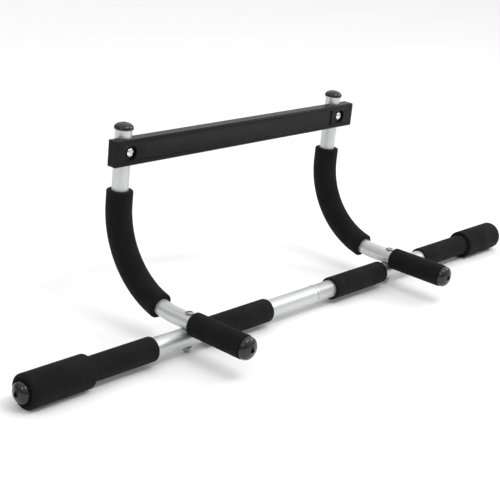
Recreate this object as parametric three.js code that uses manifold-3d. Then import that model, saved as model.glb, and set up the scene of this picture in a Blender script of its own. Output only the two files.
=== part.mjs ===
// Doorway pull up bar, in millimetres: X along the main bar, -Y towards the handles, +Z up.
// The bar lies on its two thick end sleeves; the arms are level and the posts are upright.
import * as THREE from 'three';
import { mergeVertices } from 'three/addons/utils/BufferGeometryUtils.js';
import Module from 'manifold-3d';

const wasm = await Module();
wasm.setup();

// ---- driving dimensions ----
const BAR_END_X = { left: 490, right: 498.5 };
const BAR_RADIUS = 12.5;
const BAR_WALL = 1.5;
const SPIGOT_LENGTH = 70;
const JOINT_X = 22;
const RIM_RADIUS = 12.9;
const RIM_LENGTH = 4;
const ARM_SPACING = 422.5;
const ARM_CENTRE_X = -12.8;
const ARM_RADIUS = 11;
const ARM_WALL = 1.5;
const ARM_RISE = 20.6;
const BEND_START = 24;
const BEND_RADIUS = 114.2;
const POST_LENGTH = 97.7;
const HANDLE_LENGTH = 96.3;

const GAP = 0.3;
const FOAM_GAP = 0.6;
const END_SLEEVE_RADIUS = 21;
const END_SLEEVE_LENGTH = 90;
const GRIP_RADIUS = 15.7;
const OUTER_GRIP_INNER_X = { left: 286, right: 282 };
const INNER_GRIP_RADIUS = 16;
const INNER_GRIP_LENGTH = 119;
const INNER_GRIP_START = { left: 76, right: 60.5 };
const HANDLE_GRIP_START = 9.4;
const CURVE_GRIP_RADIUS = 17.3;
const CURVE_GRIP_START = { left: 50, right: 47.5 };
const CURVE_GRIP_OVER_BEND = 18.4;
const FOAM_EDGE = 2;

const BRACE_LENGTH = 477;
const BRACE_CENTRE_X = -10;
const BRACE_HEIGHT = 34;
const BRACE_DEPTH = 16;
const BRACE_FRONT = 16.2;
const BRACE_BELOW_CAP = 10.2;
const BRACE_WALL = 3;
const BRACE_EDGE = 1.6;
const PANEL_MARGIN_X = 49.5;
const PANEL_MARGIN_Z = 6;
const PANEL_DEPTH = 1.4;
const RIB_COUNT = 7;
const SCREW_WELL_RADIUS = 9.5;
const SCREW_WELL_DEPTH = 3.2;

const BOLT_RADIUS = 3;
const BOLT_POINT = 2;
const ARM_BOLT_HEAD = { radius: 5.3, height: 2.2 };
const BRACE_BOLT_HEAD = { radius: 5.6, height: 2.6 };
const SOCKET_RADIUS = 2;
const SOCKET_DEPTH = 1.4;
const NUT_ACROSS_FLATS = 10;
const WASHER_RADIUS = 6.2;
const WASHER_THICKNESS = 1;

const ROUND = 24;
const SMALL_ROUND = 16;
const BEND_STEPS = 40;

// ---- worked out ----
const BEND_LENGTH = BEND_RADIUS * Math.PI / 2;
const POST_Y = BEND_START + BEND_RADIUS;
const BAR_CAP_DOME = 10.2;
const tubeEndX = { left: BAR_END_X.left - BAR_CAP_DOME, right: BAR_END_X.right - BAR_CAP_DOME };
const HANDLE_DOME = 10.7;
const HANDLE_TIP = HANDLE_LENGTH + HANDLE_DOME;
const BAR_Z = END_SLEEVE_RADIUS;
const ARM_Z = BAR_Z + ARM_RISE;
const POST_TOP_Z = ARM_Z + BEND_RADIUS + POST_LENGTH;
const BRACE_TOP_Z = POST_TOP_Z - BRACE_BELOW_CAP;
const HALF_TURN = Math.PI / 2;

const steel = { color: 0xc9cbcd, roughness: 0.35, metalness: 0.6 };
const zinc = { color: 0xdadde0, roughness: 0.22, metalness: 1 };
const foam = { color: 0x1b1b1c, roughness: 0.95, metalness: 0 };
const plastic = { color: 0x242526, roughness: 0.4, metalness: 0 };

const model = new THREE.Group();

function addMesh(name, geometry, finish, parent = model) {
  const mesh = new THREE.Mesh(geometry, new THREE.MeshStandardMaterial(finish));
  mesh.name = name;
  parent.add(mesh);
  return mesh;
}

// ---- solids ----
function toSolid(geometry) {
  const bare = new THREE.BufferGeometry();
  bare.setAttribute('position', geometry.getAttribute('position').clone());
  if (geometry.index) bare.setIndex(geometry.index.clone());
  const merged = mergeVertices(bare, 1e-3);
  const mesh = new wasm.Mesh({
    numProp: 3,
    vertProperties: new Float32Array(merged.getAttribute('position').array),
    triVerts: new Uint32Array(merged.index.array),
  });
  return new wasm.Manifold(mesh);
}

function toGeometry(solid) {
  const mesh = solid.getMesh();
  const geometry = new THREE.BufferGeometry();
  geometry.setAttribute('position', new THREE.BufferAttribute(new Float32Array(mesh.vertProperties), 3));
  geometry.setIndex(new THREE.BufferAttribute(new Uint32Array(mesh.triVerts), 1));
  const flat = geometry.toNonIndexed();
  flat.computeVertexNormals();
  return flat;
}

// A turned piece about +Z from its [radius, height] outline, given anticlockwise.
function turned(outline, segments = ROUND) {
  const points = outline.map(([radius, height]) => new THREE.Vector2(radius, height));
  return new THREE.LatheGeometry(points, segments).rotateX(HALF_TURN);
}

function sleeve(outer, inner, length, edge = 0) {
  const outline = edge > 0
    ? [[inner, 0], [outer - edge, 0], [outer, edge], [outer, length - edge], [outer - edge, length],
      [inner, length], [inner, 0]]
    : [[inner, 0], [outer, 0], [outer, length], [inner, length], [inner, 0]];
  return turned(outline);
}

function rod(radius, length, segments = SMALL_ROUND) {
  return turned([[0, 0], [radius, 0], [radius, length], [0, length]], segments);
}

function alongX(geometry, x) {
  return geometry.rotateY(HALF_TURN).translate(x, 0, 0);
}

function alongMinusY(geometry, y) {
  return geometry.rotateX(HALF_TURN).translate(0, y, 0);
}

function block(sizeX, sizeY, sizeZ, x, y, z) {
  return new THREE.BoxGeometry(sizeX, sizeY, sizeZ).translate(x, y, z);
}

// ---- main bar: the left half ends in a swaged spigot that plugs into the right half ----
const BORE_RADIUS = BAR_RADIUS - BAR_WALL;
const SPIGOT_RADIUS = BORE_RADIUS - GAP;
const SWAGE_LENGTH = 3;
const BOLT_HOLE_RADIUS = BOLT_RADIUS + GAP;
const armX = { left: ARM_CENTRE_X - ARM_SPACING / 2, right: ARM_CENTRE_X + ARM_SPACING / 2 };

function crossHole(x) {
  const reach = 2 * BAR_RADIUS;
  return toSolid(rod(BOLT_HOLE_RADIUS, 2 * reach).translate(x, 0, -reach));
}

function leftBar() {
  const length = JOINT_X - GAP + tubeEndX.left;
  const full = length + SPIGOT_LENGTH;
  const tube = turned([
    [BORE_RADIUS, 0], [BAR_RADIUS, 0], [BAR_RADIUS, length], [SPIGOT_RADIUS, length],
    [SPIGOT_RADIUS, full], [SPIGOT_RADIUS - BAR_WALL, full],
    [SPIGOT_RADIUS - BAR_WALL, length - SWAGE_LENGTH], [BORE_RADIUS, length - 2 * SWAGE_LENGTH],
    [BORE_RADIUS, 0],
  ]);
  return toGeometry(toSolid(alongX(tube, -tubeEndX.left)).subtract(crossHole(armX.left)));
}

function rightBar() {
  const length = tubeEndX.right - JOINT_X;
  const step = RIM_RADIUS - BAR_RADIUS;
  const tube = alongX(turned([
    [BORE_RADIUS, 0], [BAR_RADIUS, 0], [RIM_RADIUS, step], [RIM_RADIUS, RIM_LENGTH],
    [BAR_RADIUS, RIM_LENGTH + step], [BAR_RADIUS, length], [BORE_RADIUS, length], [BORE_RADIUS, 0],
  ]), JOINT_X);
  return toGeometry(toSolid(tube).subtract(crossHole(armX.right)));
}

const bar = new THREE.Group();
bar.position.z = BAR_Z;
model.add(bar);
addMesh('main_bar_left', leftBar(), steel, bar);
addMesh('main_bar_right', rightBar(), steel, bar);

// ---- arms: handle, run to the back, quarter bend and post, in one bent tube ----
class ArmLine extends THREE.Curve {
  constructor(start, end) {
    super();
    this.start = start;
    this.end = end;
  }

  getPoint(t, target = new THREE.Vector3()) {
    const s = this.start + (this.end - this.start) * t;
    if (s <= BEND_START) return target.set(0, s, 0);
    const bent = Math.min(s - BEND_START, BEND_LENGTH);
    const angle = bent / BEND_RADIUS;
    const rise = s - BEND_START - bent;
    const y = BEND_START + BEND_RADIUS * Math.sin(angle);
    return target.set(0, y, BEND_RADIUS * (1 - Math.cos(angle)) + rise);
  }
}

function swept(radius, start, end, steps) {
  const shape = new THREE.Shape().absarc(0, 0, radius, 0, Math.PI * 2);
  const path = new ArmLine(start, end);
  return new THREE.ExtrudeGeometry(shape, { steps, curveSegments: ROUND / 2, extrudePath: path });
}

function barCutter(radius) {
  const reach = 4 * ARM_RADIUS;
  return toSolid(alongX(rod(radius, reach, ROUND), -reach / 2).translate(0, 0, -ARM_RISE));
}

const ARM_END = BEND_START + BEND_LENGTH + POST_LENGTH;
const BRACE_SCREW_Z = BRACE_TOP_Z - BRACE_HEIGHT / 2 - ARM_Z;

function armTube() {
  const outside = toSolid(swept(ARM_RADIUS, -HANDLE_LENGTH, ARM_END, BEND_STEPS))
    .subtract(barCutter(BAR_RADIUS + GAP));
  const bore = toSolid(swept(ARM_RADIUS - ARM_WALL, -HANDLE_LENGTH - 1, ARM_END + 1, BEND_STEPS))
    .subtract(barCutter(BAR_RADIUS + GAP + ARM_WALL));
  const drill = () => rod(BOLT_HOLE_RADIUS, 4 * ARM_RADIUS);
  const barBoltHole = toSolid(drill().translate(0, 0, -2 * ARM_RADIUS));
  const braceBoltHole = toSolid(alongMinusY(drill(), POST_Y + 2 * ARM_RADIUS).translate(0, 0, BRACE_SCREW_Z));
  return toGeometry(outside.subtract(bore).subtract(barBoltHole).subtract(braceBoltHole));
}

// ---- foam sleeves ----
function curvedSleeve(start) {
  const end = BEND_START + BEND_LENGTH + CURVE_GRIP_OVER_BEND;
  const outside = toSolid(swept(CURVE_GRIP_RADIUS, start, end, BEND_STEPS / 2));
  const inside = toSolid(swept(ARM_RADIUS + FOAM_GAP, start - 1, end + 1, BEND_STEPS / 2));
  return toGeometry(outside.subtract(inside));
}

function handleSleeve() {
  const length = HANDLE_LENGTH - HANDLE_GRIP_START - GAP;
  const straight = sleeve(GRIP_RADIUS, ARM_RADIUS + FOAM_GAP, length, FOAM_EDGE);
  const plain = alongMinusY(straight, -HANDLE_GRIP_START);
  return toGeometry(toSolid(plain).subtract(barCutter(BAR_RADIUS + GAP)));
}

// ---- caps: a dome with a small dimple, a flange and a plug that fills the tube end ----
function domeCap(domeRadius, domeHeight, tubeBore, dimple) {
  const outline = [[0, -PLUG_LENGTH], [tubeBore - GAP, -PLUG_LENGTH], [tubeBore - GAP, GAP]];
  const lip = domeHeight * 0.22;
  outline.push([domeRadius, GAP], [domeRadius, lip]);
  const turns = 5;
  for (let i = 1; i < turns; i++) {
    const angle = i / turns * HALF_TURN;
    outline.push([domeRadius * Math.cos(angle), lip + (domeHeight - lip) * Math.sin(angle)]);
  }
  outline.push([dimple, domeHeight], [dimple, domeHeight - DIMPLE_DEPTH], [0, domeHeight - DIMPLE_DEPTH]);
  return turned(outline);
}

const PLUG_LENGTH = 16;
const DIMPLE_DEPTH = 2.6;
const BAR_CAP_RADIUS = 13;
const HANDLE_CAP_RADIUS = 14.7;
const POST_CAP_RADIUS = 12.7;
const POST_CAP_DOME = 8.8;
const CAP_HOLE_RADIUS = 2.6;
const POST_CAP_HOLE_RADIUS = 1.4;
const barCap = () => domeCap(BAR_CAP_RADIUS, BAR_CAP_DOME, BORE_RADIUS, CAP_HOLE_RADIUS);
const handleCap = () => domeCap(HANDLE_CAP_RADIUS, HANDLE_DOME, ARM_RADIUS - ARM_WALL, CAP_HOLE_RADIUS);
const postCap = () => domeCap(POST_CAP_RADIUS, POST_CAP_DOME, ARM_RADIUS - ARM_WALL, POST_CAP_HOLE_RADIUS);

// ---- fasteners, each about +Z with the underside of its head at z = 0 ----
function buttonBolt(length, { radius, height }) {
  return turned([
    [0, -length], [BOLT_RADIUS, -length], [BOLT_RADIUS, 0], [radius, 0],
    [radius, height * 0.3], [radius * 0.82, height * 0.75], [radius * 0.5, height],
    [SOCKET_RADIUS, height], [SOCKET_RADIUS, height - SOCKET_DEPTH], [0, height - SOCKET_DEPTH],
  ], SMALL_ROUND);
}

function hexagon() {
  const shape = new THREE.Shape();
  const corner = NUT_ACROSS_FLATS / Math.sqrt(3);
  for (let i = 0; i < 6; i++) {
    const angle = i * Math.PI / 3;
    const point = [corner * Math.cos(angle), corner * Math.sin(angle)];
    if (i === 0) shape.moveTo(...point);
    else shape.lineTo(...point);
  }
  return shape;
}

// Its top is at z = 0; the closed dome points down.
const DOME_NUT_HEX = 3.4;
const DOME_NUT_HEIGHT = 6.6;
const DOME_NUT_RADIUS = 4.4;
const DOME_NUT_BORE_DEPTH = 4.6;

function domeNut() {
  const hex = new THREE.ExtrudeGeometry(hexagon(), { depth: DOME_NUT_HEX, bevelEnabled: false });
  const rise = DOME_NUT_HEIGHT - DOME_NUT_HEX;
  const outline = [[0, -DOME_NUT_HEIGHT]];
  for (const angle of [Math.PI / 6, Math.PI / 3, HALF_TURN]) {
    outline.push([DOME_NUT_RADIUS * Math.sin(angle), -DOME_NUT_HEX - rise * Math.cos(angle)]);
  }
  outline.push([DOME_NUT_RADIUS, -GAP], [0, -GAP]);
  const dome = turned(outline, SMALL_ROUND);
  const bore = toSolid(rod(BOLT_HOLE_RADIUS, DOME_NUT_BORE_DEPTH + 1).translate(0, 0, -DOME_NUT_BORE_DEPTH));
  return toGeometry(toSolid(hex.translate(0, 0, -DOME_NUT_HEX)).add(toSolid(dome)).subtract(bore));
}

const NUT_HEIGHT = 5;

function plainNut() {
  const hex = new THREE.ExtrudeGeometry(hexagon(), { depth: NUT_HEIGHT, bevelEnabled: false });
  const bore = toSolid(rod(BOLT_HOLE_RADIUS, NUT_HEIGHT + 2).translate(0, 0, -1));
  return toGeometry(toSolid(hex).subtract(bore));
}

const washer = () => sleeve(WASHER_RADIUS, BOLT_HOLE_RADIUS, WASHER_THICKNESS);

// ---- trim brace: a moulded channel, open and ribbed at the back, with saddles for the posts ----
function trimBrace() {
  const length = BRACE_LENGTH;
  const front = -BRACE_FRONT;
  const middleY = front + BRACE_DEPTH / 2;
  const shape = new THREE.Shape();
  const halfDepth = BRACE_DEPTH / 2;
  const halfHeight = BRACE_HEIGHT / 2;
  shape.moveTo(-halfDepth + BRACE_EDGE, -halfHeight);
  shape.lineTo(halfDepth, -halfHeight);
  shape.lineTo(halfDepth, halfHeight);
  shape.lineTo(-halfDepth + BRACE_EDGE, halfHeight);
  shape.lineTo(-halfDepth, halfHeight - BRACE_EDGE);
  shape.lineTo(-halfDepth, -halfHeight + BRACE_EDGE);
  shape.closePath();
  const beam = new THREE.ExtrudeGeometry(shape, { depth: length, bevelEnabled: false });
  beam.rotateX(HALF_TURN).rotateZ(HALF_TURN);
  let solid = toSolid(beam.translate(-length / 2, middleY, 0));
  const panelLength = length - 2 * PANEL_MARGIN_X;
  const panelHeight = BRACE_HEIGHT - 2 * PANEL_MARGIN_Z;
  solid = solid.subtract(toSolid(block(panelLength, 2 * PANEL_DEPTH, panelHeight, 0, front, 0)));
  const postOffset = ARM_CENTRE_X - BRACE_CENTRE_X;
  const saddleHalf = ARM_RADIUS + 2 * BRACE_WALL;
  const ribSpan = ARM_SPACING - 2 * saddleHalf;
  const pitch = ribSpan / (RIB_COUNT + 1);
  const pocketDepth = BRACE_DEPTH - 2 * BRACE_WALL;
  for (let i = 0; i <= RIB_COUNT; i++) {
    const x = postOffset - ribSpan / 2 + pitch * (i + 0.5);
    const pocketY = front + BRACE_DEPTH - pocketDepth / 2 + 0.5;
    const pocket = block(pitch - BRACE_WALL, pocketDepth + 1, BRACE_HEIGHT - 2 * BRACE_WALL, x, pocketY, 0);
    solid = solid.subtract(toSolid(pocket));
  }
  for (const side of ['left', 'right']) {
    const x = armX[side] - BRACE_CENTRE_X;
    const saddle = rod(ARM_RADIUS + GAP + 0.1, 2 * BRACE_HEIGHT, ROUND).translate(x, 0, -BRACE_HEIGHT);
    const well = alongMinusY(rod(SCREW_WELL_RADIUS, SCREW_WELL_DEPTH + 1, ROUND), front + SCREW_WELL_DEPTH);
    const hole = alongMinusY(rod(BOLT_HOLE_RADIUS, 2 * BRACE_DEPTH), 0);
    solid = solid.subtract(toSolid(saddle));
    solid = solid.subtract(toSolid(well.translate(x, 0, 0)));
    solid = solid.subtract(toSolid(hole.translate(x, 0, 0)));
  }
  return toGeometry(solid);
}

// ---- assembly ----
const ARM_BOLT_LENGTH = ARM_RADIUS + GAP + ARM_RISE + BAR_RADIUS + WASHER_THICKNESS + DOME_NUT_BORE_DEPTH;
const BRACE_BOLT_HEAD_Y = POST_Y - BRACE_FRONT + SCREW_WELL_DEPTH - GAP;
const BRACE_NUT_Y = POST_Y + ARM_RADIUS + 2 * GAP + WASHER_THICKNESS;
const BRACE_BOLT_END_Y = BRACE_NUT_Y + NUT_HEIGHT + BOLT_POINT;
const BRACE_BOLT_LENGTH = BRACE_BOLT_END_Y - BRACE_BOLT_HEAD_Y;
const OVER_BAR = BAR_RADIUS + FOAM_GAP / 2;
const GRIP_SHORTFALL = 1;
const sides = { left: -1, right: 1 };

for (const [side, sign] of Object.entries(sides)) {
  const barSleeve = (near, far, radius, inner) => {
    const geometry = alongX(sleeve(radius, inner, far - near, FOAM_EDGE), near);
    return sign > 0 ? geometry : geometry.rotateZ(Math.PI);
  };
  const innerStart = INNER_GRIP_START[side];
  const sleeveEnd = tubeEndX[side] - GAP;
  addMesh(`end_sleeve_${side}`,
    barSleeve(sleeveEnd - END_SLEEVE_LENGTH, sleeveEnd, END_SLEEVE_RADIUS, GRIP_RADIUS + GAP), foam, bar);
  addMesh(`outer_grip_${side}`,
    barSleeve(OUTER_GRIP_INNER_X[side], sleeveEnd - GRIP_SHORTFALL, GRIP_RADIUS, OVER_BAR), foam, bar);
  addMesh(`inner_grip_${side}`,
    barSleeve(innerStart, innerStart + INNER_GRIP_LENGTH, INNER_GRIP_RADIUS, OVER_BAR), foam, bar);
  const barCapMesh = addMesh(`bar_cap_${side}`, barCap(), plastic, bar);
  barCapMesh.rotation.y = sign * HALF_TURN;
  barCapMesh.position.x = sign * tubeEndX[side];

  const arm = new THREE.Group();
  arm.position.set(armX[side], 0, ARM_Z);
  model.add(arm);
  addMesh(`arm_${side}`, armTube(), steel, arm);
  addMesh(`handle_grip_${side}`, handleSleeve(), foam, arm);
  addMesh(`curve_grip_${side}`, curvedSleeve(CURVE_GRIP_START[side]), foam, arm);
  const handleCapMesh = addMesh(`handle_cap_${side}`, handleCap(), plastic, arm);
  handleCapMesh.rotation.x = HALF_TURN;
  handleCapMesh.position.y = -HANDLE_LENGTH;
  addMesh(`post_cap_${side}`, postCap(), plastic, arm).position.set(0, POST_Y, BEND_RADIUS + POST_LENGTH);

  addMesh(`arm_bolt_${side}`, buttonBolt(ARM_BOLT_LENGTH, ARM_BOLT_HEAD), zinc, arm)
    .position.z = ARM_RADIUS + GAP;
  const underBar = -ARM_RISE - BAR_RADIUS - GAP - WASHER_THICKNESS;
  addMesh(`arm_washer_${side}`, washer(), zinc, arm).position.z = underBar;
  addMesh(`arm_nut_${side}`, domeNut(), zinc, arm).position.z = underBar - GAP;

  const braceBoltShape = buttonBolt(BRACE_BOLT_LENGTH, BRACE_BOLT_HEAD);
  const braceBolt = addMesh(`brace_bolt_${side}`, braceBoltShape, zinc, arm);
  braceBolt.rotation.x = HALF_TURN;
  braceBolt.position.set(0, BRACE_BOLT_HEAD_Y, BRACE_SCREW_Z);
  const braceWasher = addMesh(`brace_washer_${side}`, washer(), zinc, arm);
  braceWasher.rotation.x = -HALF_TURN;
  braceWasher.position.set(0, POST_Y + ARM_RADIUS + GAP, BRACE_SCREW_Z);
  const braceNut = addMesh(`brace_nut_${side}`, plainNut(), zinc, arm);
  braceNut.rotation.x = -HALF_TURN;
  braceNut.position.set(0, BRACE_NUT_Y, BRACE_SCREW_Z);
}
addMesh('trim_brace', trimBrace(), plastic)
  .position.set(BRACE_CENTRE_X, POST_Y, BRACE_TOP_Z - BRACE_HEIGHT / 2);

// The origin is below the middle of the whole object's box.
model.position.x = (BAR_END_X.left - BAR_END_X.right) / 2;
model.position.y = (HANDLE_TIP - BRACE_BOLT_END_Y) / 2;

export default model;
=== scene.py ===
import math

import bmesh
import bpy
from mathutils import Matrix, Vector


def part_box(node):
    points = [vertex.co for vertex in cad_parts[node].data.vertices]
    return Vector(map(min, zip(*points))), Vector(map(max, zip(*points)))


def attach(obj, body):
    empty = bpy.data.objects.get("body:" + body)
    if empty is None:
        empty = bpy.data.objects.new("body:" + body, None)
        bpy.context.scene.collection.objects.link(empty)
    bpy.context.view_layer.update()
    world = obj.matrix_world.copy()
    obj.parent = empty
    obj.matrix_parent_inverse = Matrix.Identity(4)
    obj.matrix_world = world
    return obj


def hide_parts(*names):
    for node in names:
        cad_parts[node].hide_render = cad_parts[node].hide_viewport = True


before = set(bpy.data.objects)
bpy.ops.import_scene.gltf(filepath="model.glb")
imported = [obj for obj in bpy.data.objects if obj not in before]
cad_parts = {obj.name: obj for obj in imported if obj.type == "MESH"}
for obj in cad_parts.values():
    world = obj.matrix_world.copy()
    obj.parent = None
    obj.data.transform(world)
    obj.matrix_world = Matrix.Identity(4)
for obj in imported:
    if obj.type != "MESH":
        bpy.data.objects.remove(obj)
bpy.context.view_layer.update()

MM = 0.001
SIDES = ("left", "right")


def corners(node):
    """The low and the high corner of the node's box."""
    low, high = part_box(node)
    return Vector(low), Vector(high)


def middle(node):
    low, high = corners(node)
    return (low + high) / 2


def size(node):
    low, high = corners(node)
    return high - low


# ---- camera ----
BAR_AXIS = middle("bar_cap_left")
VIEW_TURN = math.radians(-50.29)
VIEW_HEIGHT = math.radians(19.94)
VIEW_ROLL = math.radians(6.07)
VIEW_DISTANCE = 1.6809
VIEW_LENS = 88.5
VIEW_SHIFT = (-0.0099, 0.0224)
BAR_LEFT_TIP = corners("bar_cap_left")[0].x
LOOK_AT = Vector((BAR_LEFT_TIP + 0.4507, BAR_AXIS.y + 0.0579, 0.0646))


def add_camera():
    """A long lens from the front left, rolled a little against the posts."""
    back = Vector((
        math.sin(VIEW_TURN) * math.cos(VIEW_HEIGHT),
        -math.cos(VIEW_TURN) * math.cos(VIEW_HEIGHT),
        math.sin(VIEW_HEIGHT),
    ))
    level = Vector((math.cos(VIEW_TURN), math.sin(VIEW_TURN), 0))
    upright = back.cross(level)
    right = level * math.cos(VIEW_ROLL) + upright * math.sin(VIEW_ROLL)
    up = back.cross(right)
    turn = Matrix((right, up, back)).transposed().to_4x4()
    data = bpy.data.cameras.new("camera")
    data.lens = VIEW_LENS
    data.sensor_width = 36
    data.shift_x, data.shift_y = VIEW_SHIFT
    data.clip_end = 50
    camera = bpy.data.objects.new("camera", data)
    camera.matrix_world = Matrix.Translation(LOOK_AT + back * VIEW_DISTANCE) @ turn
    bpy.context.collection.objects.link(camera)
    bpy.context.scene.camera = camera


add_camera()


# ---- shader groups ----
def new_group(name, inputs, outputs):
    tree = bpy.data.node_groups.new(name, "ShaderNodeTree")
    for label, kind, value in inputs:
        socket = tree.interface.new_socket(label, in_out="INPUT", socket_type=kind)
        socket.default_value = value
    for label, kind in outputs:
        tree.interface.new_socket(label, in_out="OUTPUT", socket_type=kind)
    return tree, tree.nodes.new("NodeGroupInput"), tree.nodes.new("NodeGroupOutput")


def add_node(tree, kind, settings=None, **values):
    node = tree.nodes.new(kind)
    for name, value in (settings or {}).items():
        setattr(node, name, value)
    for name, value in values.items():
        node.inputs[name.replace("_", " ")].default_value = value
    return node


def math_node(tree, operation, first, second):
    node = tree.nodes.new("ShaderNodeMath")
    node.operation = operation
    for socket, value in zip(node.inputs, (first, second)):
        if isinstance(value, (int, float)):
            socket.default_value = value
        else:
            tree.links.new(value, socket)
    return node.outputs["Value"]


def ramp(tree, value, low, high, to_low=0.0, to_high=1.0):
    node = tree.nodes.new("ShaderNodeMapRange")
    node.interpolation_type = "SMOOTHSTEP"
    tree.links.new(value, node.inputs["Value"])
    node.inputs["From Min"].default_value = low
    node.inputs["From Max"].default_value = high
    node.inputs["To Min"].default_value = to_low
    node.inputs["To Max"].default_value = to_high
    return node.outputs["Result"]


def grain_group():
    """Fine pits over slow lumps, for foam and moulded plastic."""
    tree, given, out = new_group(
        "fine_grain",
        [("Vector", "NodeSocketVector", (0, 0, 0)), ("Grain Scale", "NodeSocketFloat", 900.0),
         ("Lump Scale", "NodeSocketFloat", 60.0)],
        [("Height", "NodeSocketFloat"), ("Pits", "NodeSocketFloat"), ("Patches", "NodeSocketFloat")],
    )
    cells = add_node(tree, "ShaderNodeTexVoronoi", {"feature": "F1"})
    fine = add_node(tree, "ShaderNodeTexNoise", Detail=3.0, Roughness=0.6)
    slow = add_node(tree, "ShaderNodeTexNoise", Detail=2.0, Roughness=0.5)
    for texture, scale in ((cells, "Grain Scale"), (fine, "Grain Scale"), (slow, "Lump Scale")):
        tree.links.new(given.outputs["Vector"], texture.inputs["Vector"])
        tree.links.new(given.outputs[scale], texture.inputs["Scale"])
    pits = ramp(tree, cells.outputs["Distance"], 0.1, 0.75)
    rough = math_node(tree, "MULTIPLY", fine.outputs["Fac"], 0.6)
    tree.links.new(math_node(tree, "ADD", rough, pits), out.inputs["Height"])
    tree.links.new(pits, out.inputs["Pits"])
    tree.links.new(ramp(tree, slow.outputs["Fac"], 0.3, 0.7), out.inputs["Patches"])
    return tree


def wear_group():
    """Light scuffs and faint handling marks that run in no one direction."""
    tree, given, out = new_group(
        "handling_marks",
        [("Vector", "NodeSocketVector", (0, 0, 0)), ("Scale", "NodeSocketFloat", 40.0),
         ("Amount", "NodeSocketFloat", 0.3)],
        [("Marks", "NodeSocketFloat")],
    )
    broad = add_node(tree, "ShaderNodeTexNoise", Detail=6.0, Roughness=0.65)
    tree.links.new(given.outputs["Vector"], broad.inputs["Vector"])
    tree.links.new(given.outputs["Scale"], broad.inputs["Scale"])
    marks = ramp(tree, broad.outputs["Fac"], 0.48, 0.8)
    tree.links.new(math_node(tree, "MULTIPLY", marks, given.outputs["Amount"]), out.inputs["Marks"])
    return tree


GRAIN = grain_group()
MARKS = wear_group()


# ---- materials ----
def new_material(name, base, roughness, metallic=0.0):
    material = bpy.data.materials.new(name)
    material.use_nodes = True
    tree = material.node_tree
    shader = tree.nodes["Principled BSDF"]
    shader.inputs["Base Color"].default_value = (*base, 1)
    shader.inputs["Roughness"].default_value = roughness
    shader.inputs["Metallic"].default_value = metallic
    return material, tree, shader


def place_group(tree, group, **values):
    node = tree.nodes.new("ShaderNodeGroup")
    node.node_tree = group
    for name, value in values.items():
        node.inputs[name.replace("_", " ")].default_value = value
    return node


def object_vector(tree):
    return tree.nodes.new("ShaderNodeTexCoord").outputs["Object"]


def mix_colours(tree, mask, first, second):
    node = tree.nodes.new("ShaderNodeMix")
    node.data_type = "RGBA"
    tree.links.new(mask, node.inputs["Factor"])
    node.inputs["A"].default_value = (*first, 1)
    node.inputs["B"].default_value = (*second, 1)
    return node.outputs["Result"]


def add_bump(tree, shader, height, strength, distance):
    bump = tree.nodes.new("ShaderNodeBump")
    bump.inputs["Strength"].default_value = strength
    bump.inputs["Distance"].default_value = distance
    tree.links.new(height, bump.inputs["Height"])
    tree.links.new(bump.outputs["Normal"], shader.inputs["Normal"])


def foam_material():
    """Closed-cell foam: matt black, finely pitted, a little shinier in patches."""
    material, tree, shader = new_material("black_grip_foam", (0.0065, 0.0065, 0.007), 0.85)
    grain = place_group(tree, GRAIN, Grain_Scale=950.0, Lump_Scale=45.0)
    tree.links.new(object_vector(tree), grain.inputs["Vector"])
    colour = mix_colours(
        tree, grain.outputs["Pits"], (0.0035, 0.0035, 0.0038), (0.009, 0.009, 0.0095))
    tree.links.new(colour, shader.inputs["Base Color"])
    tree.links.new(ramp(tree, grain.outputs["Patches"], 0, 1, 0.78, 0.92), shader.inputs["Roughness"])
    shader.inputs["Sheen Weight"].default_value = 0.02
    shader.inputs["Sheen Roughness"].default_value = 0.5
    shader.inputs["Specular IOR Level"].default_value = 0.12
    add_bump(tree, shader, grain.outputs["Height"], 0.6, 0.0004)
    return material


def tube_material():
    """Satin silver paint: faint drawing lines run along the tube, wherever it bends."""
    material, tree, shader = new_material("satin_silver_tube", (0.62, 0.623, 0.627), 0.4, 0.85)
    run = add_node(tree, "ShaderNodeAttribute", {"attribute_name": "run"})
    stretch = add_node(tree, "ShaderNodeMapping", Scale=(6.0, 900.0, 900.0))
    tree.links.new(run.outputs["Vector"], stretch.inputs["Vector"])
    lines = add_node(tree, "ShaderNodeTexNoise", Scale=1.0, Detail=3.0, Roughness=0.6)
    tree.links.new(stretch.outputs["Vector"], lines.inputs["Vector"])
    marks = place_group(tree, MARKS, Scale=55.0, Amount=0.1)
    tree.links.new(object_vector(tree), marks.inputs["Vector"])
    streaks = ramp(tree, lines.outputs["Fac"], 0.3, 0.7)
    colour = mix_colours(tree, streaks, (0.6, 0.603, 0.607), (0.66, 0.663, 0.667))
    tree.links.new(colour, shader.inputs["Base Color"])
    satin = ramp(tree, lines.outputs["Fac"], 0.3, 0.7, 0.38, 0.46)
    tree.links.new(math_node(tree, "ADD", satin, marks.outputs["Marks"]), shader.inputs["Roughness"])
    add_bump(tree, shader, streaks, 0.03, 0.00003)
    return material


def cover_in_plastic(tree, shader, grain, marks, colours, gloss, bump):
    """A fine grain, in slow patches between two colours, duller where it has been handled."""
    vector = object_vector(tree)
    for group in (grain, marks):
        tree.links.new(vector, group.inputs["Vector"])
    colour = mix_colours(tree, grain.outputs["Patches"], *colours)
    tree.links.new(colour, shader.inputs["Base Color"])
    tree.links.new(math_node(tree, "ADD", marks.outputs["Marks"], gloss), shader.inputs["Roughness"])
    add_bump(tree, shader, grain.outputs["Height"], *bump)


def cap_material():
    material, tree, shader = new_material("gloss_cap_plastic", (0.016, 0.016, 0.017), 0.2)
    grain = place_group(tree, GRAIN, Grain_Scale=1400.0, Lump_Scale=80.0)
    marks = place_group(tree, MARKS, Scale=120.0, Amount=0.12)
    colours = (0.008, 0.008, 0.009), (0.013, 0.013, 0.014)
    cover_in_plastic(tree, shader, grain, marks, colours, gloss=0.16, bump=(0.03, 0.00005))
    return material


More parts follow.
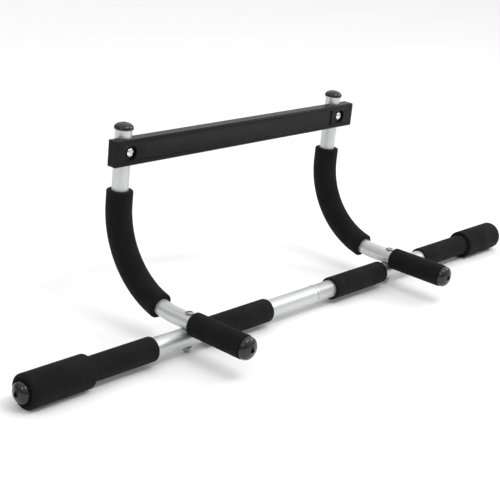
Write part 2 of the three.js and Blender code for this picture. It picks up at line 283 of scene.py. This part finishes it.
def brace_material():
    material, tree, shader = new_material("charcoal_brace_plastic", (0.004, 0.004, 0.0045), 0.3)
    shader.inputs["Specular IOR Level"].default_value = 0.12
    grain = place_group(tree, GRAIN, Grain_Scale=1100.0, Lump_Scale=30.0)
    marks = place_group(tree, MARKS, Scale=70.0, Amount=0.2)
    colours = (0.0035, 0.0035, 0.004), (0.0055, 0.0055, 0.006)
    cover_in_plastic(tree, shader, grain, marks, colours, gloss=0.2, bump=(0.05, 0.00006))
    return material


def zinc_material(name, light, dull):
    """Plated steel, duller where it has been handled."""
    material, tree, shader = new_material(name, light, 0.2, 1.0)
    marks = place_group(tree, MARKS, Scale=260.0, Amount=0.25)
    tree.links.new(object_vector(tree), marks.inputs["Vector"])
    colour = mix_colours(tree, marks.outputs["Marks"], light, dull)
    tree.links.new(colour, shader.inputs["Base Color"])
    tree.links.new(math_node(tree, "ADD", marks.outputs["Marks"], 0.16), shader.inputs["Roughness"])
    return material


FOAM = foam_material()
TUBE = tube_material()
CAP = cap_material()
BRACE = brace_material()
ZINC = zinc_material("bright_zinc", (0.8, 0.805, 0.81), (0.62, 0.62, 0.6))
# A darker copy of the same zinc for the crossing bolts, washers and nuts: its darkening is painted
# dark reflection, not the plating's own colour.
PAINTED_DARK_ZINC = zinc_material("zinc_darkened_as_painted_reflection", (0.34, 0.342, 0.345), (0.24, 0.24, 0.235))


# ---- making pieces ----
ALONG_X = Matrix.Rotation(math.pi / 2, 4, "Y")
ALONG_MINUS_X = Matrix.Rotation(-math.pi / 2, 4, "Y")
ALONG_MINUS_Y = Matrix.Rotation(math.pi / 2, 4, "X")
ALONG_Y = Matrix.Rotation(-math.pi / 2, 4, "X")
UP = Matrix.Identity(4)
ROUND = 64
SHARP_ANGLE = math.radians(38)
SOFTEN_ANGLE = math.radians(30)
MERGE = 0.001 * MM


def finish_piece(name, bm, node, material):
    """The finished mesh as an object that rides on the body and stands for its node."""
    bmesh.ops.remove_doubles(bm, verts=bm.verts, dist=MERGE)
    bmesh.ops.recalc_face_normals(bm, faces=bm.faces)
    mesh = bpy.data.meshes.new(name)
    bm.to_mesh(mesh)
    bm.free()
    mesh.shade_smooth()
    mesh.set_sharp_from_angle(angle=SHARP_ANGLE)
    mesh.materials.append(material)
    piece = bpy.data.objects.new(name, mesh)
    bpy.context.collection.objects.link(piece)
    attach(piece, "root")
    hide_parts(node)
    return piece


def spun(outline, closed=False, steps=ROUND):
    """A turned shape about +Z from its (radius, height) outline in metres."""
    bm = bmesh.new()
    verts = [bm.verts.new((radius, 0, height)) for radius, height in outline]
    edges = [bm.edges.new(pair) for pair in zip(verts, verts[1:])]
    if closed:
        edges.append(bm.edges.new((verts[-1], verts[0])))
    bmesh.ops.spin(
        bm, geom=verts + edges, cent=(0, 0, 0), axis=(0, 0, 1),
        angle=2 * math.pi, steps=steps, use_merge=True, use_duplicate=False,
    )
    bmesh.ops.remove_doubles(bm, verts=bm.verts, dist=MERGE)
    return bm


def made_verts(geom):
    return [part for part in geom if isinstance(part, bmesh.types.BMVert)]


def soften(bm, offset, segments, keep=lambda edge: True):
    """Round the sharp edges of bm that keep() picks."""
    edges = [
        e for e in bm.edges
        if len(e.link_faces) == 2 and e.calc_face_angle(0) > SOFTEN_ANGLE and keep(e)
    ]
    bmesh.ops.bevel(
        bm, geom=edges, offset=offset, offset_type="OFFSET", affect="EDGES",
        segments=segments, profile=0.5, material=-1, clamp_overlap=True,
    )


def put(bm, turn, place):
    bmesh.ops.transform(bm, matrix=Matrix.Translation(place) @ turn, verts=bm.verts)
    return bm


# ---- sizes shared by several pieces ----
BAR_RADIUS = size("main_bar_left").z / 2
ARM_RADIUS = size("arm_left").x / 2
GRIP_RADIUS = size("outer_grip_left").z / 2
BEND_RADIUS = 114.2 * MM
TUBE_WALL = 1.5 * MM
CLEAR = 0.3 * MM


# ---- straight foam sleeves ----
FOAM_EDGE = 2.5 * MM


def foam_sleeve(inner, outer, length):
    """A sleeve about +Z, its outer edges rounded and its bore left sharp."""
    bm = spun([(inner, 0), (outer, 0), (outer, length), (inner, length)], closed=True)
    edge = min(FOAM_EDGE, (outer - inner) * 0.6)
    soften(bm, edge, 6, keep=lambda e: e.verts[0].co.xy.length > outer - MM)
    return bm


def add_foam(name, bm, node):
    piece = finish_piece(name, bm, node, FOAM)


def bar_foam(node, inner):
    start = corners(node)[0].x
    span = size(node)
    bm = foam_sleeve(inner, span.z / 2, span.x)
    put(bm, ALONG_X, (start, BAR_AXIS.y, BAR_AXIS.z))
    add_foam(node.replace("sleeve", "foam").replace("grip", "foam"), bm, node)


for side in SIDES:
    bar_foam(f"end_sleeve_{side}", GRIP_RADIUS + CLEAR)
    bar_foam(f"outer_grip_{side}", BAR_RADIUS + CLEAR)
    bar_foam(f"inner_grip_{side}", BAR_RADIUS + CLEAR)


# ---- bent arms and their foam ----
BEND_STEPS = 48
CURVE_EDGE = 1.6 * MM
PRESSED_REACH = 30 * MM
PRESSED_STEPS = 40


class Arm:
    """Where one bent arm lies: its axis, its bend and its two ends."""

    def __init__(self, side):
        handle = middle(f"handle_grip_{side}")
        low, high = corners(f"arm_{side}")
        self.x = handle.x
        self.z = handle.z
        self.front = low.y
        self.top = high.z
        self.post_y = middle(f"post_cap_{side}").y
        self.bend_y = self.post_y - BEND_RADIUS
        self.bend_z = self.z + BEND_RADIUS


def ring(bm, radius, place):
    made = bmesh.ops.create_circle(bm, cap_ends=False, radius=radius, segments=ROUND)
    bmesh.ops.transform(bm, matrix=Matrix.Translation(place) @ ALONG_Y, verts=made["verts"])
    return list({e for v in made["verts"] for e in v.link_edges})


def extrude_by(bm, edges, step):
    made = bmesh.ops.extrude_edge_only(bm, edges=edges)["geom"]
    bmesh.ops.translate(bm, verts=made_verts(made), vec=step)
    return [g for g in made if isinstance(g, bmesh.types.BMEdge) and len(g.link_faces) == 1]


def bend_up(bm, edges, arm, start_angle=0.0):
    """Sweep the ring from its place in the bend up to where the post starts."""
    made = bmesh.ops.spin(
        bm, geom=edges + list({v for e in edges for v in e.verts}),
        cent=(arm.x, arm.bend_y, arm.bend_z), axis=(1, 0, 0),
        angle=math.pi / 2 - start_angle, steps=BEND_STEPS, use_merge=False, use_duplicate=False,
    )["geom_last"]
    return [g for g in made if isinstance(g, bmesh.types.BMEdge)]


def straightened(arm, co):
    """The point on the tube before it was bent: distance along it, then across it."""
    if co.y > arm.bend_y and co.z > arm.z - 2 * ARM_RADIUS:
        away = Vector((co.y - arm.bend_y, co.z - arm.bend_z))
        angle = math.atan2(away.x, -away.y)
        if co.z > arm.bend_z:
            along = BEND_RADIUS * math.pi / 2 + co.z - arm.bend_z
            return (along + arm.bend_y, co.x, co.y)
        return (arm.bend_y + BEND_RADIUS * angle, co.x, away.length)
    return (co.y, co.x, co.z)


def mark_run(piece, rule):
    """Store each point's place along and across its tube, which the paint's lines follow."""
    run = piece.data.attributes.new("run", "FLOAT_VECTOR", "POINT")
    for vert in piece.data.vertices:
        run.data[vert.index].vector = rule(vert.co)


def press_over_bar(bm):
    """Lift everything that would dip into the main bar, as a saddle that fits over it."""
    reach = BAR_RADIUS + CLEAR
    for vert in bm.verts:
        off = abs(vert.co.y - BAR_AXIS.y)
        if off < reach:
            vert.co.z = max(vert.co.z, BAR_AXIS.z + math.sqrt(reach ** 2 - off ** 2))


def arm_tube(side):
    arm = Arm(side)
    bm = bmesh.new()
    front = ring(bm, ARM_RADIUS, (arm.x, arm.front, arm.z))
    edges = extrude_by(bm, front, (0, BAR_AXIS.y - PRESSED_REACH - arm.front, 0))
    step = (arm.bend_y - BAR_AXIS.y + PRESSED_REACH) / PRESSED_STEPS
    for _ in range(PRESSED_STEPS):
        edges = extrude_by(bm, edges, (0, step, 0))
    edges = bend_up(bm, edges, arm)
    back = extrude_by(bm, edges, (0, 0, arm.top - arm.bend_z))
    for end in (front, back):
        bmesh.ops.edgeloop_fill(bm, edges=end)
    press_over_bar(bm)
    piece = finish_piece(f"arm_tube_{side}", bm, f"arm_{side}", TUBE)
    mark_run(piece, lambda co: straightened(arm, co))


def off_middle(arm, co):
    """How far a point is from the middle line of the arm."""
    if co.z > arm.bend_z:
        return math.hypot(co.x - arm.x, co.y - arm.post_y)
    away = math.hypot(co.y - arm.bend_y, co.z - arm.bend_z)
    return math.hypot(co.x - arm.x, away - BEND_RADIUS)


def curve_foam(side):
    """A sleeve that starts a little way into the bend and ends on the post."""
    arm = Arm(side)
    node = f"curve_grip_{side}"
    low, high = corners(node)
    outer = size(node).x / 2
    start = math.asin((low.y - arm.bend_y) / (BEND_RADIUS - outer))
    centre = (arm.x, arm.bend_y, arm.bend_z)
    bm = bmesh.new()
    firsts, lasts = [], []
    for radius in (outer, ARM_RADIUS + CLEAR):
        edges = ring(bm, radius, (arm.x, arm.bend_y, arm.z))
        verts = list({v for e in edges for v in e.verts})
        bmesh.ops.rotate(bm, verts=verts, cent=centre, matrix=Matrix.Rotation(start, 3, "X"))
        firsts += edges
        lasts += extrude_by(bm, bend_up(bm, edges, arm, start), (0, 0, high.z - arm.bend_z))
    for loops in (firsts, lasts):
        bmesh.ops.bridge_loops(bm, edges=loops)
    on_outside = 0.4 * MM
    soften(bm, CURVE_EDGE, 5, keep=lambda e: all(
        abs(off_middle(arm, v.co) - outer) < on_outside for v in e.verts))
    add_foam(f"curve_foam_{side}", bm, node)


def handle_foam(side):
    arm = Arm(side)
    node = f"handle_grip_{side}"
    span = size(node)
    bm = foam_sleeve(ARM_RADIUS + CLEAR, span.x / 2, span.y)
    put(bm, ALONG_MINUS_Y, (arm.x, corners(node)[1].y, arm.z))
    press_over_bar(bm)
    add_foam(f"handle_foam_{side}", bm, node)


for side in SIDES:
    arm_tube(side)
    curve_foam(side)
    handle_foam(side)


# ---- main bar ----
RIM_LENGTH = 4 * MM
BAR_LIP = 0.5 * MM
BORE_DEPTH = 80 * MM


def left_bar_outline(joint, end):
    """A tube with closed ends, and the narrower end that goes into the other half."""
    bore = BAR_RADIUS - TUBE_WALL
    return [(0, 0), (BAR_RADIUS - BAR_LIP, 0), (BAR_RADIUS, BAR_LIP), (BAR_RADIUS, joint - BAR_LIP),
            (BAR_RADIUS - BAR_LIP, joint), (bore - CLEAR, joint), (bore - CLEAR, end), (0, end)]


def right_bar_outline(rim, end):
    """A tube with a low raised rim around its open end, and a bore as deep as is needed."""
    bore = BAR_RADIUS - TUBE_WALL
    return [(bore, 0), (rim - 2 * BAR_LIP, 0), (rim - 0.3 * BAR_LIP, 0.5 * BAR_LIP),
            (rim, 1.5 * BAR_LIP), (rim, RIM_LENGTH - BAR_LIP), (rim - 0.4 * BAR_LIP, RIM_LENGTH),
            (BAR_RADIUS, RIM_LENGTH + BAR_LIP), (BAR_RADIUS, end), (0, end),
            (0, BORE_DEPTH), (bore, BORE_DEPTH)]


def bar_tube(side):
    low, high = corners(f"main_bar_{side}")
    length = high.x - low.x
    if side == "left":
        joint = corners("main_bar_right")[0].x - CLEAR
        bm = spun(left_bar_outline(joint - low.x, length))
    else:
        bm = spun(right_bar_outline((high.z - low.z) / 2, length), closed=True)
    put(bm, ALONG_X, (low.x, BAR_AXIS.y, BAR_AXIS.z))
    piece = finish_piece(f"bar_tube_{side}", bm, f"main_bar_{side}", TUBE)
    mark_run(piece, tuple)


for side in SIDES:
    bar_tube(side)


# ---- caps ----
PLUG_LENGTH = 14 * MM
PLUG_INSET = 1.9 * MM
CAP_LIP = 0.22
CAP_STEPS = 10
CAP_SKIRT = 5 * MM
CAP_DIMPLE = 3.2 * MM
POST_CAP_DIMPLE = 1.5 * MM


def dome_outline(radius, height, plug, dimple, skirt):
    """A cap from its plug's end, out over the flange and up the dome to the dimple.

    With a skirt, the flange reaches back over the tube by that much.
    """
    outline = [(0, -PLUG_LENGTH), (plug, -PLUG_LENGTH), (plug, CLEAR)]
    if skirt:
        over_tube = BAR_RADIUS + 0.1 * MM
        outline += [(over_tube, CLEAR), (over_tube, -skirt), (radius, -skirt)]
    else:
        outline += [(radius - 0.4 * MM, CLEAR), (radius, 0.8 * MM)]
    lip = height * CAP_LIP
    outline.append((radius, lip))
    for i in range(1, CAP_STEPS):
        angle = i / CAP_STEPS * math.pi / 2
        reach = radius * math.cos(angle)
        if reach > dimple * 1.25:
            outline.append((reach, lip + (height - lip) * math.sin(angle)))
    outline += [(dimple * 1.15, height), (dimple, height - 0.4 * MM),
                (dimple * 0.9, height - 2.4 * MM), (0, height - 2.6 * MM)]
    return outline


def add_cap(name, node, turn, place, radius, height, tube_radius, dimple=CAP_DIMPLE, skirt=0):
    bm = spun(dome_outline(radius, height, tube_radius - PLUG_INSET, dimple, skirt))
    finish_piece(name, put(bm, turn, place), node, CAP)


def bar_cap(side):
    node = f"bar_cap_{side}"
    low, high = corners(node)
    tube_low, tube_high = corners(f"main_bar_{side}")
    if side == "left":
        turn, tube_end, height = ALONG_MINUS_X, tube_low.x, tube_low.x - low.x
    else:
        turn, tube_end, height = ALONG_X, tube_high.x, high.x - tube_high.x
    add_cap(f"bar_end_cap_{side}", node, turn, (tube_end, BAR_AXIS.y, BAR_AXIS.z),
            size(node).z / 2, height, BAR_RADIUS, skirt=CAP_SKIRT)


def handle_cap(side):
    arm = Arm(side)
    node = f"handle_cap_{side}"
    add_cap(f"handle_end_cap_{side}", node, ALONG_MINUS_Y, (arm.x, arm.front, arm.z),
            size(node).x / 2, arm.front - corners(node)[0].y, ARM_RADIUS)


def post_cap(side):
    arm = Arm(side)
    node = f"post_cap_{side}"
    add_cap(f"post_end_cap_{side}", node, UP, (arm.x, arm.post_y, arm.top),
            size(node).x / 2, corners(node)[1].z - arm.top, ARM_RADIUS, dimple=POST_CAP_DIMPLE)


for side in SIDES:
    bar_cap(side)
    handle_cap(side)
    post_cap(side)


# ---- fasteners ----
BOLT_RADIUS = 3 * MM
BOLT_POINT = 0.5 * MM
BOLT_STEPS = 32
HEAD_EDGE = 0.25
HEAD_STEPS = 6
BEAM_HEAD_HEIGHT = 2.6 * MM
SOCKET_RADIUS = 2 * MM
SOCKET_DEPTH = 1.8 * MM
NUT_ACROSS = 10 * MM
NUT_BORE_STEPS = 30
DOME_RADIUS = 4.4 * MM
DOME_STEPS = 7
DOME_FOOT = 3.3 * MM
HEX_FOOT = 3.4 * MM


def bolt(length, head, height):
    """A low button head with a round socket; its underside is at z = 0."""
    outline = [(0, -length), (BOLT_RADIUS - BOLT_POINT, -length),
               (BOLT_RADIUS, -length + BOLT_POINT), (BOLT_RADIUS, 0),
               (head, 0), (head, height * HEAD_EDGE)]
    for i in range(1, HEAD_STEPS):
        angle = i / HEAD_STEPS * math.pi / 2
        reach = head * math.cos(angle)
        if reach > SOCKET_RADIUS + 0.6 * MM:
            outline.append((reach, height * (HEAD_EDGE + (1 - HEAD_EDGE) * math.sin(angle))))
    outline += [(SOCKET_RADIUS + 0.3 * MM, height), (SOCKET_RADIUS, height - 0.3 * MM),
                (SOCKET_RADIUS, height - SOCKET_DEPTH), (0, height - SOCKET_DEPTH)]
    return spun(outline, steps=BOLT_STEPS)


def hex_circle(bm, filled):
    corner = NUT_ACROSS / math.sqrt(3)
    return bmesh.ops.create_circle(bm, cap_ends=filled, radius=corner, segments=6)["verts"]


def raise_faces(bm, height):
    """Extrude all faces of bm up by height."""
    top = bmesh.ops.extrude_face_region(bm, geom=bm.faces[:])["geom"]
    bmesh.ops.translate(bm, verts=made_verts(top), vec=(0, 0, height))


def dome_nut(height):
    """A closed dome nut; its top is at z = 0 and its dome points down."""
    bm = bmesh.new()
    bmesh.ops.translate(bm, verts=hex_circle(bm, filled=True), vec=(0, 0, -HEX_FOOT))
    raise_faces(bm, HEX_FOOT)
    soften(bm, 0.5 * MM, 3)
    outline = [(0, -height)]
    for i in range(1, DOME_STEPS + 1):
        angle = i / DOME_STEPS * math.pi / 2
        drop = DOME_FOOT + (height - DOME_FOOT) * math.cos(angle)
        outline.append((DOME_RADIUS * math.sin(angle), -drop))
    inside_hex = HEX_FOOT - MM
    outline += [(DOME_RADIUS, -inside_hex), (0, -inside_hex)]
    dome = spun(outline, steps=BOLT_STEPS)
    mesh = bpy.data.meshes.new("dome")
    dome.to_mesh(mesh)
    dome.free()
    bm.from_mesh(mesh)
    bpy.data.meshes.remove(mesh)
    return bm


def plain_nut(height):
    """A plain nut about +Z from z = 0, with its thread bore."""
    bm = bmesh.new()
    outer = hex_circle(bm, filled=False)
    bore = BOLT_RADIUS + CLEAR
    inner = bmesh.ops.create_circle(bm, cap_ends=False, radius=bore, segments=NUT_BORE_STEPS)["verts"]
    bmesh.ops.bridge_loops(bm, edges=list({e for v in outer + inner for e in v.link_edges}))
    raise_faces(bm, height)
    soften(bm, 0.4 * MM, 2, keep=lambda e: all(v.co.xy.length > BOLT_RADIUS + MM for v in e.verts))
    return bm


def washer(thickness, radius):
    bore = BOLT_RADIUS + CLEAR
    outline = [(bore, 0), (radius, 0), (radius, thickness), (bore, thickness)]
    bm = spun(outline, closed=True, steps=40)
    soften(bm, 0.2 * MM, 2)
    return bm


def add_fastener(name, node, bm, turn, place, material):
    finish_piece(name, put(bm, turn, place), node, material)


def crossing_fasteners(side):
    """The bolt down through arm and bar, with its washer and dome nut below the bar."""
    arm = Arm(side)
    low, high = corners(f"arm_bolt_{side}")
    head_z = arm.z + ARM_RADIUS + CLEAR
    # These crossing fasteners get the darker zinc copy, whose darkness is painted dark reflection.
    add_fastener(f"crossing_bolt_{side}", f"arm_bolt_{side}",
                 bolt(head_z - low.z, (high.x - low.x) / 2, high.z - head_z),
                 UP, (arm.x, BAR_AXIS.y, head_z), PAINTED_DARK_ZINC)
    low, high = corners(f"arm_nut_{side}")
    add_fastener(f"crossing_nut_{side}", f"arm_nut_{side}", dome_nut(high.z - low.z),
                 UP, (arm.x, BAR_AXIS.y, high.z), PAINTED_DARK_ZINC)
    low, high = corners(f"arm_washer_{side}")
    add_fastener(f"crossing_washer_{side}", f"arm_washer_{side}",
                 washer(high.z - low.z, (high.x - low.x) / 2),
                 UP, (arm.x, BAR_AXIS.y, low.z), PAINTED_DARK_ZINC)


def beam_fasteners(side):
    """The bolt through beam and post, with its washer and nut behind the post."""
    arm = Arm(side)
    low, high = corners(f"brace_bolt_{side}")
    screw_z = (low.z + high.z) / 2
    add_fastener(f"beam_bolt_{side}", f"brace_bolt_{side}",
                 bolt(high.y - low.y - BEAM_HEAD_HEIGHT, (high.x - low.x) / 2, BEAM_HEAD_HEIGHT),
                 ALONG_MINUS_Y, (arm.x, low.y + BEAM_HEAD_HEIGHT, screw_z), ZINC)
    low, high = corners(f"brace_washer_{side}")
    add_fastener(f"beam_washer_{side}", f"brace_washer_{side}",
                 washer(high.y - low.y, (high.x - low.x) / 2),
                 ALONG_Y, (arm.x, low.y, screw_z), ZINC)
    low, high = corners(f"brace_nut_{side}")
    add_fastener(f"beam_nut_{side}", f"brace_nut_{side}", plain_nut(high.y - low.y),
                 ALONG_Y, (arm.x, low.y, screw_z), ZINC)


for side in SIDES:
    crossing_fasteners(side)
    beam_fasteners(side)


# ---- brace ----
MOULD_RADIUS = 1.1 * MM
MOULD_ANGLE = math.radians(35)
FLAT_ANGLE = math.radians(1)


def brace_beam():
    """The moulded beam, with its edges rounded as they leave the mould."""
    bm = bmesh.new()
    bm.from_mesh(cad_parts["trim_brace"].data)
    bmesh.ops.remove_doubles(bm, verts=bm.verts, dist=10 * MERGE)
    bmesh.ops.dissolve_limit(bm, angle_limit=FLAT_ANGLE, verts=bm.verts, edges=bm.edges)
    piece = finish_piece("brace_beam", bm, "trim_brace", BRACE)
    rounding = piece.modifiers.new("mould_radius", "BEVEL")
    rounding.width = MOULD_RADIUS
    rounding.segments = 3
    rounding.limit_method = "ANGLE"
    rounding.angle_limit = MOULD_ANGLE
    rounding.harden_normals = True


brace_beam()


# ---- floor and light ----
FLOOR_HALF = 12
FLOOR_DROP = 0.2 * MM


def add_floor():
    bm = bmesh.new()
    bmesh.ops.create_grid(bm, x_segments=1, y_segments=1, size=FLOOR_HALF)
    mesh = bpy.data.meshes.new("floor")
    bm.to_mesh(mesh)
    bm.free()
    floor = bpy.data.objects.new("floor", mesh)
    floor.location.z = -FLOOR_DROP
    bpy.context.collection.objects.link(floor)
    material, _, shader = new_material("pale_floor", (0.93, 0.93, 0.93), 0.9)
    shader.inputs["Specular IOR Level"].default_value = 0.1
    mesh.materials.append(material)


def add_light(name, place, aim, width, height, watts):
    """A soft box of width by height metres, turned towards aim."""
    data = bpy.data.lights.new(name, "AREA")
    data.shape = "RECTANGLE"
    data.size = width
    data.size_y = height
    data.energy = watts
    light = bpy.data.objects.new(name, data)
    light.location = place
    light.rotation_euler = (Vector(aim) - Vector(place)).to_track_quat("-Z", "Y").to_euler()
    bpy.context.collection.objects.link(light)


def add_studio():
    """A white tent, grey at the object's height and brighter to the right, with three soft boxes."""
    world = bpy.data.worlds.new("studio")
    world.use_nodes = True
    tree = world.node_tree
    background = tree.nodes["Background"]
    direction = tree.nodes.new("ShaderNodeTexCoord").outputs["Generated"]
    split = tree.nodes.new("ShaderNodeSeparateXYZ")
    tree.links.new(direction, split.inputs["Vector"])
    overhead = ramp(tree, split.outputs["Z"], 0.0, 0.9, 0.2, 1.0)
    window = ramp(tree, split.outputs["X"], -0.3, 0.8, 0.0, 0.4)
    tree.links.new(math_node(tree, "ADD", overhead, window), background.inputs["Color"])
    bpy.context.scene.world = world
    bpy.context.scene.view_settings.view_transform = "Standard"
    add_light("front_overhead", (0.1, -1.0, 2.1), (0, 0, 0), 1.2, 0.5, 13)
    add_light("right_window", (2.1, -0.95, 1.65), (0, 0, 0.1), 0.3, 0.45, 12)
    add_light("left_window", (-2.2, -0.2, 1.6), (0, 0, 0.1), 0.25, 0.5, 6)


add_floor()
add_studio()
